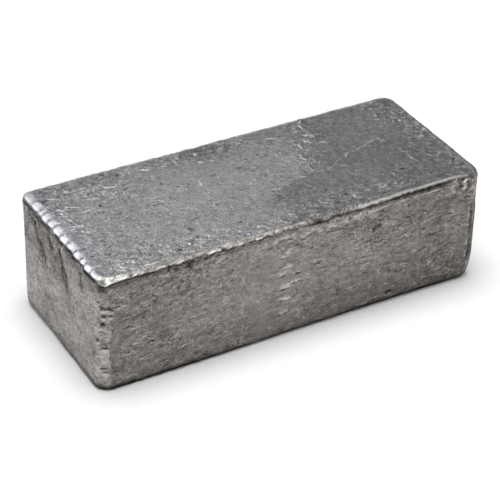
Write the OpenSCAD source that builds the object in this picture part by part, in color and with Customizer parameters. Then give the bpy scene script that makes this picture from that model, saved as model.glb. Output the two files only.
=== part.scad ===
// Cast lead brick: one solid block with rounded upright corners and a round rim along
// the edges of its top face, standing a little proud of the sides.
// X runs along the length, Y across the width and Z up. The origin is the middle of the base.

/* [Block] */
// Length over the rim
brick_length = 203; // [150:1:260]
// Width over the rim
brick_width = 85; // [60:1:110]
// Height from the base to the top face
brick_height = 60; // [40:1:80]

/* [Edges] */
// Plan radius of the upright corners, measured over the rim
corner_radius = 7; // [5:0.5:14]
// Radius of the round rim along the top edges
rim_radius = 3; // [1.5:0.5:4]
// How far the rim stands proud of the sides
rim_lip = 0.3; // [0.2:0.1:1]
// Radius of the bottom edges
base_radius = 3; // [0.5:0.5:3.5]

/* [Hidden] */
$fn = 96;

// The plain core, whose upright corners are the centres of the rounded corners
core_length = brick_length - 2 * corner_radius;
core_width = brick_width - 2 * corner_radius;

// Distance from the core out to the side wall
wall_reach = corner_radius - rim_lip;

// A rectangle from the core's face out to a reach, between two heights
module band(reach, low, high) {
    translate([0, low])
        square([reach, high - low]);
}

// A full round with its centre that far out from the core's face
module round_edge(radius, out, up) {
    translate([out, up])
        circle(radius);
}

// Section of the edge from the core's face outwards: rim, wall and rounded foot
module edge_section() {
    rim_out = corner_radius - rim_radius;
    rim_up = brick_height - rim_radius;
    foot_out = wall_reach - base_radius;
    intersection() {
        union() {
            band(rim_out, base_radius, brick_height);
            round_edge(rim_radius, rim_out, rim_up);
            band(wall_reach, base_radius, rim_up);
            band(foot_out, 0, base_radius);
            round_edge(base_radius, foot_out, base_radius);
        }
        band(corner_radius, 0, brick_height);
    }
}

// Straight run of the edge section, centred on its own middle and facing +X
module edge_run(run) {
    rotate([90, 0, 0])
        linear_extrude(run, center = true)
            edge_section();
}

// Edge section turned a quarter turn round an upright corner
module corner_turn() {
    rotate_extrude(angle = 90)
        edge_section();
}

module lead_brick() {
    color("gray")
        union() {
            linear_extrude(brick_height)
                square([core_length, core_width], center = true);
            for (half_turn = [0, 180])
                rotate(half_turn) {
                    translate([core_length / 2, 0, 0])
                        edge_run(core_width);
                    translate([0, core_width / 2, 0])
                        rotate(90)
                            edge_run(core_length);
                    translate([core_length / 2, core_width / 2, 0])
                        corner_turn();
                    translate([-core_length / 2, core_width / 2, 0])
                        rotate(90)
                            corner_turn();
                }
        }
}

lead_brick();
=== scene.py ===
import math

import bpy
import numpy as np
from mathutils import Matrix, Vector, noise


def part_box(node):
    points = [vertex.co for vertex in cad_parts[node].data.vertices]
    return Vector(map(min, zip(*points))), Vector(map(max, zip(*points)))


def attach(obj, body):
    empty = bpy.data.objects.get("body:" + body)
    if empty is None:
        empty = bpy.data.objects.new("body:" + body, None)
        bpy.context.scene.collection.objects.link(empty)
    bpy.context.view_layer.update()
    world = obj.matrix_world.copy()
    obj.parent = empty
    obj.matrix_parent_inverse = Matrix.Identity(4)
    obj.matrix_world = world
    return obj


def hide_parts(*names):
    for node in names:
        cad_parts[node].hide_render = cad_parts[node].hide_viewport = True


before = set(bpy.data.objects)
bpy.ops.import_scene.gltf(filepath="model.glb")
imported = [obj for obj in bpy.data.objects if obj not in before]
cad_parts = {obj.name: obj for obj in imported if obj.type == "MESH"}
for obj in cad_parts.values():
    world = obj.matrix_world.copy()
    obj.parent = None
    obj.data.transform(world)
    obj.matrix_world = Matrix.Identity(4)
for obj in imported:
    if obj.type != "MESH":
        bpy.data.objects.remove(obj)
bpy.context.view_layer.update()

mm = 0.001           # shapes are worked out in millimetres and written in metres
seedStep = 17.3      # each seed reads the noise this much further on


def hexToLinear(code):
    channels = [int(code[i:i + 2], 16) / 255 for i in (1, 3, 5)]
    return tuple(c / 12.92 if c <= 0.04045 else ((c + 0.055) / 1.055) ** 2.4 for c in channels) + (1.0,)


def addNode(tree, kind, inputs, **settings):
    node = tree.nodes.new("ShaderNode" + kind)
    for name, value in settings.items():
        setattr(node, name, value)
    for socket, value in inputs.items():
        if isinstance(value, bpy.types.Node):
            value = value.outputs[0]
        if isinstance(value, bpy.types.NodeSocket):
            tree.links.new(value, node.inputs[socket])
        else:
            node.inputs[socket].default_value = value
    return node


# Brick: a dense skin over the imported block, pressed in where the casting is uneven

brick = dict(
    node="lead_brick",
    slot="cast_lead",
    cornerRadius=7.0,    # upright corners, over the rim
    rimRadius=3.0,
    wallInset=0.3,       # sides lie this far inside the rim
    footRadius=3.0,
    step=0.77,           # grid spacing on the faces
    cornerCells=7,
    rimCells=12,
    footCells=6,
    baseStride=4,        # base cells are this many steps wide, it lies on the floor
    skin=0.2,            # mean depth of the uneven skin below the block's own face
)

low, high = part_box(brick["node"])
length, width, height = [(b - a) / mm for a, b in zip(low, high)]
halfX, halfY = length / 2, width / 2


def gridLine(half, corner):
    straight = half - corner
    cells = round(2 * straight / brick["step"])
    middle = np.linspace(-straight, straight, cells + 1)
    end = np.linspace(straight, half, brick["cornerCells"] + 1)[1:]
    return np.concatenate([-end[::-1], middle, end])


def edgeRows():
    # inset from the rim's outline, height, direction and place along the section of each row down the side
    rim, foot, inset = brick["rimRadius"], brick["footRadius"], brick["wallInset"]
    tuck = math.acos(1 - inset / rim)
    rows = []
    for i in range(1, brick["rimCells"] + 1):
        a = math.pi / 2 - (math.pi / 2 + tuck) * i / brick["rimCells"]
        outward, up = math.cos(a), math.sin(a)
        rows.append((rim - rim * outward, height - rim + rim * up, outward, up, rim * a))
    wallTop = rows[-1][1]
    wallCells = round((wallTop - foot) / brick["step"])
    for i in range(1, wallCells + 1):
        z = wallTop + (foot - wallTop) * i / wallCells
        rows.append((inset, z, 1.0, 0.0, z - height + rim))
    for i in range(1, brick["footCells"] + 1):
        a = -math.pi / 2 * i / brick["footCells"]
        z = foot + foot * math.sin(a)
        rows.append((inset + foot - foot * math.cos(a), z, math.cos(a), math.sin(a), z - height + rim))
    return rows


def skinGrid():
    rim, corner = brick["rimRadius"], brick["cornerRadius"]
    crown = corner - rim                                    # corner radius of the flat top
    xs, ys = gridLine(halfX - rim, crown), gridLine(halfY - rim, crown)
    nx, ny = len(xs) - 1, len(ys) - 1
    x, y = [g.ravel() for g in np.meshgrid(xs, ys, indexing="ij")]
    coreX = np.clip(x, -(halfX - corner), halfX - corner)
    coreY = np.clip(y, -(halfY - corner), halfY - corner)
    dx, dy = x - coreX, y - coreY
    reach = np.maximum(np.hypot(dx, dy), 1e-9)
    pull = np.where(reach > 1e-6, np.maximum(abs(dx), abs(dy)) / reach, 0)   # squares the corners round
    points = [np.stack([coreX + dx * pull, coreY + dy * pull, np.full_like(x, height)], 1)]
    normals = [np.tile([0.0, 0.0, 1.0], (len(x), 1))]
    edges = [rim * math.pi / 2 + crown - np.maximum(abs(dx), abs(dy))]
    at = lambda i, j: i * (ny + 1) + j
    faces = [(at(i, j), at(i + 1, j), at(i + 1, j + 1), at(i, j + 1)) for i in range(nx) for j in range(ny)]

    border = [(i, 0) for i in range(nx)] + [(nx, j) for j in range(ny)]
    border += [(i, ny) for i in range(nx, 0, -1)] + [(0, j) for j in range(ny, 0, -1)]
    ring = [at(i, j) for i, j in border]
    core = np.stack([coreX, coreY], 1)[ring]
    out = (points[0][ring, :2] - core) / crown
    count = len(ring)
    upper, start = ring, len(x)
    for inset, z, outward, up, edge in edgeRows():
        points.append(np.column_stack([core + out * (corner - inset), np.full(count, z)]))
        normals.append(np.column_stack([out * outward, np.full(count, up)]))
        edges.append(np.full(count, edge))
        lower = list(range(start, start + count))
        faces += [(lower[k - 1], lower[k], upper[k], upper[k - 1]) for k in range(count)]
        upper, start = lower, start + count

    # base: coarse cells that take up every point of the last row along their outer sides
    below = dict(zip(border, upper))
    stopsX = list(range(0, nx - 1, brick["baseStride"])) + [nx]
    stopsY = list(range(0, ny - 1, brick["baseStride"])) + [ny]
    inner = [(i, j) for i in stopsX[1:-1] for j in stopsY[1:-1]]
    for k, cell in enumerate(inner):
        below[cell] = start + k
    innerAt = [at(i, j) for i, j in inner]
    points.append(np.column_stack([points[0][innerAt, :2], np.zeros(len(inner))]))
    normals.append(np.tile([0.0, 0.0, -1.0], (len(inner), 1)))
    edges.append(np.full(len(inner), -height))
    for i0, i1 in zip(stopsX, stopsX[1:]):
        for j0, j1 in zip(stopsY, stopsY[1:]):
            loop = [(i, j0) for i in (range(i0, i1) if j0 == 0 else [i0])]
            loop += [(i1, j) for j in (range(j0, j1) if i1 == nx else [j0])]
            loop += [(i, j1) for i in (range(i1, i0, -1) if j1 == ny else [i1])]
            loop += [(i0, j) for j in (range(j1, j0, -1) if i0 == 0 else [j1])]
            faces.append([below[p] for p in reversed(loop)])
    return np.concatenate(points), np.concatenate(normals), np.concatenate(edges), faces


def field(points, sizes, seed, octaves=2, smooth=0.8):
    # fractal noise with its own grain size along x, y and z, in millimetres
    grain = points / np.array(sizes) + seed * seedStep
    return np.array([noise.fractal(Vector(p), smooth, 2.0, octaves) for p in grain])


def ramp(value, start, end):
    t = np.clip((value - start) / (end - start), 0, 1)
    return t * t * (3 - 2 * t)


def bump(value, middle, spread):
    return np.exp(-((value - middle) / spread) ** 2)


def band(value, start, end, blur):
    return ramp(value, start - blur, start + blur) * ramp(value, end + blur, end - blur)


def along(value, stops):
    return np.interp(value, *zip(*stops))


def lineGap(u, v, stops):
    # distance to a line through the given stops, negative on its other side
    best = np.full(len(u), 1e9)
    for (u0, v0), (u1, v1) in zip(stops, stops[1:]):
        du, dv = u1 - u0, v1 - v0
        t = np.clip(((u - u0) * du + (v - v0) * dv) / (du * du + dv * dv), 0, 1)
        gap = np.hypot(u - u0 - t * du, v - v0 - t * dv)
        gap = np.where((u - u0) * dv < (v - v0) * du, -gap, gap)
        best = np.where(abs(gap) < abs(best), gap, best)
    return best


# Relief of the casting, in millimetres, pressed into the grid along its own directions

skinPlaces = dict(
    cornerFrom=(4, 22), cornerTo=(88, 70),    # marks of the upright corners come and go between these turns
    cornerReach=8.0,    # and end this far across the rim
    hiddenEnd=0.25, hiddenLong=0.3,    # how bright the rubbed edges and painted highlights are on the hidden end and side
    otherCorners=0.12,    # how far the other corners are crumpled
    bend=1.7, bendSize=(9, 9, 9),    # warps the grain
    crumbSize=(2.4, 1.9, 1.7), wanderSize=(5, 5, 5), straySize=(4, 4, 4),
    facing=0.75, lean=0.3, level=0.97,    # how squarely a point of a face looks outward, or up
    noLine=9.0,    # distance, in its own widths, at which no line is drawn
    baseAt=(-1.0, -0.6),    # slopes between which the relief fades out towards the flat base
    drawnAt=(0.6, 0.9),    # shares of the width between which the foot starts to draw back
    pouredAt=(3.8, 5.4), pouredWaver=0.6,    # across the rim, where the colour of the poured top starts
)


class SkinGrid:
    def __init__(self, points, normals, edge):
        s = skinPlaces
        self.at = points
        self.x, self.y, self.z = points.T
        self.nz = normals[:, 2]
        self.end, self.long, self.flat = normals.T ** 2
        self.edge = edge    # across the rim: 0 where it meets the side, then up and in over the top
        # turn round the upright corners in degrees, 0 at the end, 90 at the long side, running on
        corner = brick["cornerRadius"]
        past = [abs(v) - half + corner for v, half in ((self.x, halfX), (self.y, halfY))]
        outX, outY = [np.maximum(p, 0) for p in past]
        onX, onY = [np.maximum(-p, 0) / corner for p in past]
        self.turn = np.degrees(np.arctan2(outY, outX) + (outX == 0) * onX - (outY == 0) * onY)
        self.corner = ramp(self.turn, *s["cornerFrom"]) * ramp(self.turn, *s["cornerTo"])
        self.corner *= edge < s["cornerReach"]
        # the hidden end and side carry the same marks as the ones in the photo, turned half round
        self.alongLong = np.where(self.y < 0, self.x, -self.x)
        self.alongEnd = np.where(self.x < 0, self.y, -self.y)
        self.shownEnd = np.where(self.x < 0, 1, s["hiddenEnd"])
        self.shownLong = np.where(self.y < 0, 1, s["hiddenLong"])
        self.nearest = (self.x < 0) & (self.y < 0)    # the corner towards the camera is the worst
        self.nearCorner = np.where(self.nearest, 1.0, s["otherCorners"])
        bend = [field(points, s["bendSize"], seed) for seed in (31, 32, 33)]
        self.bent = points + s["bend"] * np.stack(bend, 1)
        self.crumbs = field(points, s["crumbSize"], 13)
        self.wander = field(points, s["wanderSize"], 12, octaves=3, smooth=0.6)
        strays = [field(points, s["straySize"], seed, octaves=3, smooth=0.6) for seed in (17, 18)]
        self.strayU, self.strayV = strays
        upright = abs(self.nz) < s["lean"]
        self.onEnd, self.onLong = (self.end > s["facing"]) * upright, (self.long > s["facing"]) * upright
        self.onTop = self.nz > s["level"]
        count = len(points)
        self.depth = np.full(count, -brick["skin"])
        self.rough = np.ones(count)
        for name in ("foot", "drawn", "fine", "tone", "creviceShadow", "paintedShade", "cold", "lightened"):
            setattr(self, name, np.zeros(count))
        self.lineAt = {kind: np.full(count, s["noLine"]) for kind in ("crack", "crease")}
        self.lineShown = {kind: np.zeros(count) for kind in ("crack", "crease")}

    def grain(self, amount, shape):
        self.depth += amount * shape
        self.fine += amount * shape

    # presses the skin in and paints a dark shadow into the hollow
    def press(self, shape, depth, dark):
        self.depth -= depth * shape
        self.creviceShadow = np.maximum(self.creviceShadow, dark * shape)

    def draw(self, kind, gap, width, shown, rise):
        # a line finer than the grid: its gap keeps its sign, and the material draws it as thin as its width
        near = shown * bump(gap, 0, brick["step"] + width / 2)
        self.depth += rise * near
        better = near > self.lineShown[kind]
        self.lineAt[kind] = np.where(better, gap / width, self.lineAt[kind])
        self.lineShown[kind] = np.where(better, near, self.lineShown[kind])

    # painted shade: darkens the colour where shade falls
    def paintShade(self, shape):
        self.paintedShade = np.maximum(self.paintedShade, shape)

    # raises the skin and lightens its colour: rubbed metal, and a painted highlight on lips, beads and ridge
    # crests
    def raised(self, shape, rise, bright):
        self.depth += rise * shape
        self.lightened = np.maximum(self.lightened, bright * shape)


# Pairs named after a measure are where an effect starts and where it is full
skinRelief = dict(
    sag=0.20, sagSize=70.0,    # faces that sank a little as the lead cooled
    swell=0.16, swellSize=15.0, swellLost=0.6,    # and the share that the flat top lacks
    lump=0.10, lumpSize=5.0, lumpLost=0.5,
    farSmooth=0.75,    # share that the far corners lack
    sideGrain=(5.0, 5.0, 2.2), sideAmount=0.13,    # grain longer along the sides than up them
    endGrain=(4.0, 11.0, 2.8), endAmount=0.24, endRough=1.7,
    topGrain=(3.4, 3.0, 3.0), topAmount=0.12,
    topRough=[(-85, 1.24), (-55, 1.1), (-30, 0.8), (20, 0.79), (40, 0.64), (95, 0.68)],    # along x
    frontRough=0.25, frontAt=(-24, -36),    # the top is rougher along its front, by y
    flake=0.15, flakeSize=(7.0, 7.0, 3.0), flakeSteps=2.4, flakeEdge=(0.72, 1.0),
    calm=0.42, calmMiddle=-20.0, calmWidth=11.0,    # smoother patch of each long side
    # smoother and rougher zones of the long sides: x, z, widths, change
    zones=[(28, 10, 24, 11, -0.32), (-34, 48, 24, 11, 0.35), (-80, 44, 16, 10, 0.35), (48, 44, 22, 10, 0.35)],
    pit=0.45, pitSize=(2.6, 2.4, 1.6), pitFrom=(0.32, 0.56), pitDark=0.5, pitElsewhere=0.12,
    pitZones=[(-58, 46, 16, 11), (50, 45, 24, 11), (-85, 20, 16, 14), (78, 25, 14, 16)],    # x, z, widths
    # lighter and darker parts, painted light and shade in part, such as the long faces darkening towards the
    # foot: change, face, then each measure with its start and end
    shades=[(-0.02, "long"), (-0.08, "long", ("z", 32, 5)), (-0.09, "long", ("alongLong", 20, 80)),
            (-0.08, "long", ("alongLong", -45, -75), ("z", 10, 35)), (0.07, "end", ("z", 42, 15)),
            (-0.12, "end", ("z", 28, 42), ("alongEnd", -8, 10)),
            (0.04, "end", ("z", 28, 42), ("alongEnd", -2, -12)),
            (-0.05, "flat", ("x", -40, -75)), (-0.09, "flat", ("y", 0, 34), ("x", 60, 30)),
            (0.03, "flat", ("x", 45, 70), ("y", -5, 15))],
    lowShade=0.06, lowMiddle=25.0, lowWidth=28.0, lowAt=(34, 18),    # and painted shade at the foot right of the middle
)


def castSkin(g):
    r = skinRelief
    calm = 1 - r["calm"] * bump(g.alongLong, r["calmMiddle"], r["calmWidth"])
    for x, z, wide, tall, change in r["zones"]:
        calm += change * bump(g.alongLong, x, wide) * bump(g.z, z, tall)
    g.rough = g.flat * along(g.x, r["topRough"]) + g.long * calm + g.end * r["endRough"]
    g.rough += r["frontRough"] * g.flat * ramp(g.y, *r["frontAt"])
    even = 1 - r["farSmooth"] * g.corner * ~g.nearest
    g.depth += r["sag"] * field(g.at, (r["sagSize"],) * 3, 1)
    g.depth += r["swell"] * even * (1 - r["swellLost"] * g.flat) * field(g.at, (r["swellSize"],) * 3, 2)
    g.grain(r["lump"], even * (1 - r["lumpLost"] * g.flat) * field(g.bent, (r["lumpSize"],) * 3, 3))
    side = field(g.bent, r["sideGrain"], 4, octaves=4, smooth=0.6)
    end = field(g.bent, r["endGrain"], 5, octaves=4, smooth=0.6)
    top = field(g.bent, r["topGrain"], 6, octaves=3, smooth=0.6)
    g.grain(r["sideAmount"], even * g.long * g.rough * side)
    g.grain(r["endAmount"], even * g.end * end)
    g.grain(r["topAmount"], g.flat * g.rough * top)
    # flakes: the skin steps down in thin ledges
    rise = r["flakeSteps"] * field(g.bent, r["flakeSize"], 7, octaves=3)
    ledge = np.floor(rise) + ramp(rise - np.floor(rise), *r["flakeEdge"])
    g.grain(r["flake"], even * g.long * g.rough * (ledge + 0.5))
    # pits left by gas and dross, in clumps
    zone = np.full(len(g.x), r["pitElsewhere"])
    for x, z, wide, tall in r["pitZones"]:
        zone = np.maximum(zone, bump(g.alongLong, x, wide) * bump(g.z, z, tall))
    pits = g.long * zone * ramp(field(g.bent, r["pitSize"], 8), *r["pitFrom"])
    g.press(pits, r["pit"], r["pitDark"])
    for change, face, *measures in r["shades"]:
        shade = change * getattr(g, face)
        for measure, *limits in measures:
            shade = shade * ramp(getattr(g, measure), *limits)
        g.tone += shade
    low = bump(g.alongLong, r["lowMiddle"], r["lowWidth"]) * ramp(g.z, *r["lowAt"])
    g.tone -= r["lowShade"] * g.long * low


footRelief = dict(
    # painted shade along the foot: x and how high it reaches, start, strength, share that the ends lack
    footShadeHeight=[(-100, 6.0), (-60, 5.0), (-20, 3.5), (30, 5.0), (100, 7.5)],
    footShadeFrom=0.6, footShade=0.9, endShadeLost=0.35,
    under=(3.4, 0.8),    # painted shade: the rounded foot turns dark between these heights
    underDark=[(-100, 1.0), (-60, 0.95), (-30, 0.65), (100, 0.55)],    # x, how dark it gets
    underEnd=0.25, underTurn=(-10, 35),    # less dark on the ends
    farLight=0.7, farTurn=(95, 75),    # and at the far corners
    # the foot is sharper than the block's own, along x on the long sides and along y on the ends
    sharpLong=[(-100, 0.8), (-62, 0.75), (-30, 0.5), (0, 0.3), (100, 0.2)],
    sharpEnd=[(-42, 0.8), (0, 0.5), (36, 0.2)],
    sharpTurn=(110, 70), sharpFrom=(-0.2, -0.6), sharpTo=(-1.0, -0.93),    # by turn and by slope
    recede=[(-55, 0.0), (-30, 0.2), (0, 0.6), (30, 1.0), (60, 1.1), (100, 0.9)],    # it draws back along x
    recedeTurn=(20, 70), recedeHeight=14.0,
)


def shapeFoot(g):
    r = footRelief
    low = np.clip(1 - (g.z - r["footShadeFrom"]) / along(g.alongLong, r["footShadeHeight"]), 0, 1) ** 2
    g.paintShade(r["footShade"] * low * (1 - r["endShadeLost"] * g.end))
    under = ramp(g.z, *r["under"]) * along(g.alongLong, r["underDark"])
    under *= r["underEnd"] + (1 - r["underEnd"]) * ramp(g.turn, *r["underTurn"])
    g.press(under * (1 - r["farLight"] * (g.x > 0) * ramp(g.turn, *r["farTurn"])), 0, 1.0)
    onLong = ramp(g.turn, 0, 90)
    sharp = onLong * along(g.alongLong, r["sharpLong"]) + (1 - onLong) * along(g.alongEnd, r["sharpEnd"])
    sharp *= 1 - (g.alongLong > 0) * ramp(g.turn, *r["sharpTurn"])
    g.foot = sharp * ramp(g.nz, *r["sharpFrom"]) * ramp(g.nz, *r["sharpTo"])
    g.drawn = along(g.alongLong, r["recede"]) * ramp(g.turn, *r["recedeTurn"])
    g.drawn *= ramp(g.z, r["recedeHeight"], 0)


endRim = dict(
    # gaps between the beads, along y
    gaps=[30.6, 22.4, 19.0, 13.0, 7.0, -0.3, -7.2, -14.4, -20.6, -25.7, -32.0],
    gapWidth=0.9, gapDepth=0.3, gapDark=0.2,
    deep=[-14.4, -20.6], deepWidth=0.5, deepDepth=0.7, deepDark=0.9,
    lean=0.4, leanFrom=4.5,    # shift along y for each mm across the rim, from this place
    waver=0.3, waverAcross=0.25,
    turn=(62, 42), reach=8.5,    # fade into the corners, inner limit across the rim
    beadFoot=2.1, beadBlur=0.35,    # across the rim
    beadTop=[(-36, 5.2), (-16, 6.2), (0, 6.8), (13, 7.1), (31, 7.5)],    # y, inner side of the beads
    blockLong=3.6, blockAcross=3.2, lastBead=0.8,    # higher is blockier, then the height past the last gaps
    # across the rim, bead by bead
    shift=[0.2, -0.3, 0.25, -0.1, 0.35, -0.25, 0.1, 0.3, -0.3, 0.2, -0.1, 0.25],
    slant=0.6,    # each bead lies a little askew
    # painted highlight on the beads, brightest in the middle of each as on a rounded bead
    rise=0.3, flankBright=0.27, coreBright=0.558,
    shown=[(-44, 1.0), (-5, 1.0), (18, 0.85), (29, 0.8), (36, 0.55), (41, 0.2)],    # y, how bright the painted highlight is
    # painted shadow in the groove under the beads: across the rim, along y, and where its line breaks up
    groove=(1.2, 2.5), grooveBlur=0.5, grooveTurn=(45, 15), grooveDepth=0.5, grooveBlack=0.92,
    grooveDark=[(-36, 1.0), (0, 0.9), (16, 0.65), (32, 0.4)], grooveBreaks=(-0.9, -0.1),
    shade=(48, 57), rimShade=0.28, shadeBreaks=(-0.5, 0.3),    # painted shade: the end darkens under the rim between these heights
    coldTurn=(35, 10), coldReach=10.0, coldCore=(0.45, 0.95),    # painted reflection of a colder light on the sides of the beads
)


def rippleEnds(g):
    r = endRim
    y = g.alongEnd
    inside = g.edge < r["reach"]
    skew = y - r["lean"] * (g.edge - r["leanFrom"]) + r["waver"] * g.wander
    stops = np.array(sorted(r["gaps"]))
    slot = np.clip(np.searchsorted(stops, skew), 1, len(stops) - 1)
    share = (skew - stops[slot - 1]) / (stops[slot] - stops[slot - 1])
    bead = np.where((share > 0) & (share < 1), 1 - abs(2 * share - 1) ** r["blockLong"], r["lastBead"])
    foot, top = r["beadFoot"], along(y, r["beadTop"])
    place = g.edge + r["waverAcross"] * g.wander - np.array(r["shift"])[slot]
    place += r["slant"] * (np.clip(share, 0, 1) - 0.5)
    beads = ramp(g.turn, *r["turn"]) * inside * band(place, foot, top, r["beadBlur"])
    across = 1 - np.clip(abs(2 * (place - foot) / (top - foot) - 1), 0, 1) ** r["blockAcross"]
    core = beads * bead * across
    g.depth += r["rise"] * g.shownEnd * core
    shown = g.shownEnd * along(y, r["shown"])
    g.raised(shown * (r["flankBright"] * beads + r["coreBright"] * core), 0, 1.0)
    groove = ramp(g.turn, *r["grooveTurn"]) * inside * shown * along(y, r["grooveDark"])
    groove *= band(place, *r["groove"], r["grooveBlur"]) * ramp(g.wander, *r["grooveBreaks"])
    g.press(groove, r["grooveDepth"], r["grooveBlack"])
    g.paintShade(r["rimShade"] * g.end * ramp(g.z, *r["shade"]) * ramp(g.wander, *r["shadeBreaks"]))
    for stop in r["gaps"]:
        if stop in r["deep"]:
            g.draw("crack", skew - stop, r["deepWidth"], r["deepDark"] * beads * g.shownEnd, -r["deepDepth"])
        else:
            g.press(beads * g.shownEnd * bump(skew, stop, r["gapWidth"]), r["gapDepth"], r["gapDark"])
    g.cold = ramp(g.turn, *r["coldTurn"]) * (g.x < r["coldReach"] - halfX) * (1 - ramp(core, *r["coldCore"]))


# Long edges of the top, lip on the left and ridge on the right: x, then how far across the rim from the side

longLip = dict(
    turn=(45, 72), reach=(-9.0, 8.5),    # fade into the corners, limits across the rim
    brokenAt=(-88, -54),    # clean on the left, broken towards the middle
    waver=0.15, brokenWaver=0.6, crumble=0.9,    # how far the lip strays
    roughBelow=0.5, roughBand=(-7, 0, 2), roughAt=(60, 30),
    cut=[(-98, -0.3), (-90, 0.6), (-70, 0.8), (-66, 1.2), (-60, 0.6), (-44, 1.4), (-24, 1.2), (-4, 1.4),
         (4, 1.4), (11, 1.0), (19, 1.7), (26, 2.2)],
    cutDark=[(-98, 0.95), (-64, 0.95), (-50, 0.85), (-4, 0.75), (8, 0.85), (26, 0.85), (32, 0.0)],
    cutWidth=[(-98, 0.55), (-84, 0.65), (-72, 1.0), (-50, 0.9), (-20, 0.9), (-4, 1.5), (8, 2.1), (22, 1.6)],
    cutDepth=0.45, cutGaps=0.7, cutGapsFrom=(0.0, -0.3), cutGapsAt=(8, -4),    # the cut is closed here
    under=2.2, underBlur=0.8, underShade=0.5, underAt=(10, -20), underBreaks=(-0.7, 0.2),    # painted shade under it
    holesAt=(-70, -30, 6), holesFrom=(0.1, 0.3), holeDepth=0.3, holeDark=0.85,
    crumbsShown=[(-30, 0.0), (-12, 1.0), (32, 1.0), (42, 0.0)],    # light crumbs under it
    crumbsBelow=(5.0, 1.8), crumbsFrom=(-0.05, 0.35), crumbRise=0.12, crumbBright=0.4,
    lipFoot=[(-98, 0.7), (-90, 1.3), (-75, 1.5), (-66, 1.8), (-48, 2.1)],
    lipTop=[(-98, 4.6), (-90, 3.9), (-75, 3.5), (-66, 3.6), (-48, 3.9), (20, 4.4)],
    lipSoft=[(-98, 0.4), (-86, 1.0), (-70, 1.4), (-30, 1.2), (0, 0.6)],    # blur into the top
    lipBright=[(-98, 1.0), (-88, 0.9), (-80, 0.6), (-66, 0.46), (-40, 0.5), (-8, 0.45), (4, 0.3), (12, 0.16),
               (22, 0.0)],
    lipBlur=0.35, lipRise=0.1, lipCrumbs=0.2,
    speckFrom=-0.7, speckTo=0.1, brokenFrom=0.3, brokenTo=0.25,    # bright crumbs, fewer where broken
    notch=11.0, notchWidth=2.0, notchLean=0.5, notchFrom=1.5, notchMiddle=1.6, notchReach=2.6, notchDepth=0.8,
    backLine=(2.2, 5.0, 0.4), backBreaks=(-0.6, 0.0), backBright=0.6,    # thin painted highlight along the back edge
)


def longRim(g):
    low, high = longLip["reach"]
    return ramp(g.turn, *longLip["turn"]) * (g.edge > low) * (g.edge < high)


def lipEdges(g):
    r = longLip
    x, side = g.alongLong, longRim(g)
    broken = ramp(x, *r["brokenAt"])
    place = g.edge + (r["waver"] + r["brokenWaver"] * broken) * g.wander + r["crumble"] * broken * g.crumbs
    g.rough += r["roughBelow"] * side * broken * ramp(x, *r["roughAt"]) * band(g.edge, *r["roughBand"])
    # dark cut under the lip, a painted shadow line
    cut = along(x, r["cut"])
    kept = 1 - r["cutGaps"] * broken * ramp(g.crumbs, *r["cutGapsFrom"]) * ramp(x, *r["cutGapsAt"])
    dark = side * kept * along(x, r["cutDark"])
    g.draw("crack", place - cut, along(x, r["cutWidth"]), dark, -r["cutDepth"])
    under = side * band(place, cut - r["under"], cut, r["underBlur"])
    g.paintShade(r["underShade"] * under * ramp(x, *r["underAt"]) * ramp(g.wander, *r["underBreaks"]))
    g.press(under * band(x, *r["holesAt"]) * ramp(g.crumbs, *r["holesFrom"]), r["holeDepth"], r["holeDark"])
    foot, top = [cut - below for below in r["crumbsBelow"]]
    below = side * along(x, r["crumbsShown"]) * band(place, foot, top, r["underBlur"])
    g.raised(below * g.shownLong * ramp(g.crumbs, *r["crumbsFrom"]), r["crumbRise"], r["crumbBright"])
    # bright lip over it: rubbed metal with a painted highlight that fades along x
    foot, top, soft = [along(x, r[k]) for k in ("lipFoot", "lipTop", "lipSoft")]
    lip = side * ramp(place, foot - r["lipBlur"], foot + r["lipBlur"]) * ramp(place, top + soft, top - soft)
    start, full = r["speckFrom"] + r["brokenFrom"] * broken, r["speckTo"] + r["brokenTo"] * broken
    g.raised(lip * g.shownLong * along(x, r["lipBright"]) * ramp(g.crumbs, start, full), r["lipRise"], 1.0)
    g.depth += r["lipCrumbs"] * lip * g.crumbs
    notch = bump(x + r["notchLean"] * (g.edge - r["notchFrom"]), r["notch"], r["notchWidth"])
    g.press(side * notch * bump(g.edge, r["notchMiddle"], r["notchReach"]), r["notchDepth"], 1.0)
    back = (g.y > 0) * side * band(g.edge, *r["backLine"]) * ramp(g.wander, *r["backBreaks"])
    g.raised(back, 0, r["backBright"])


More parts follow.
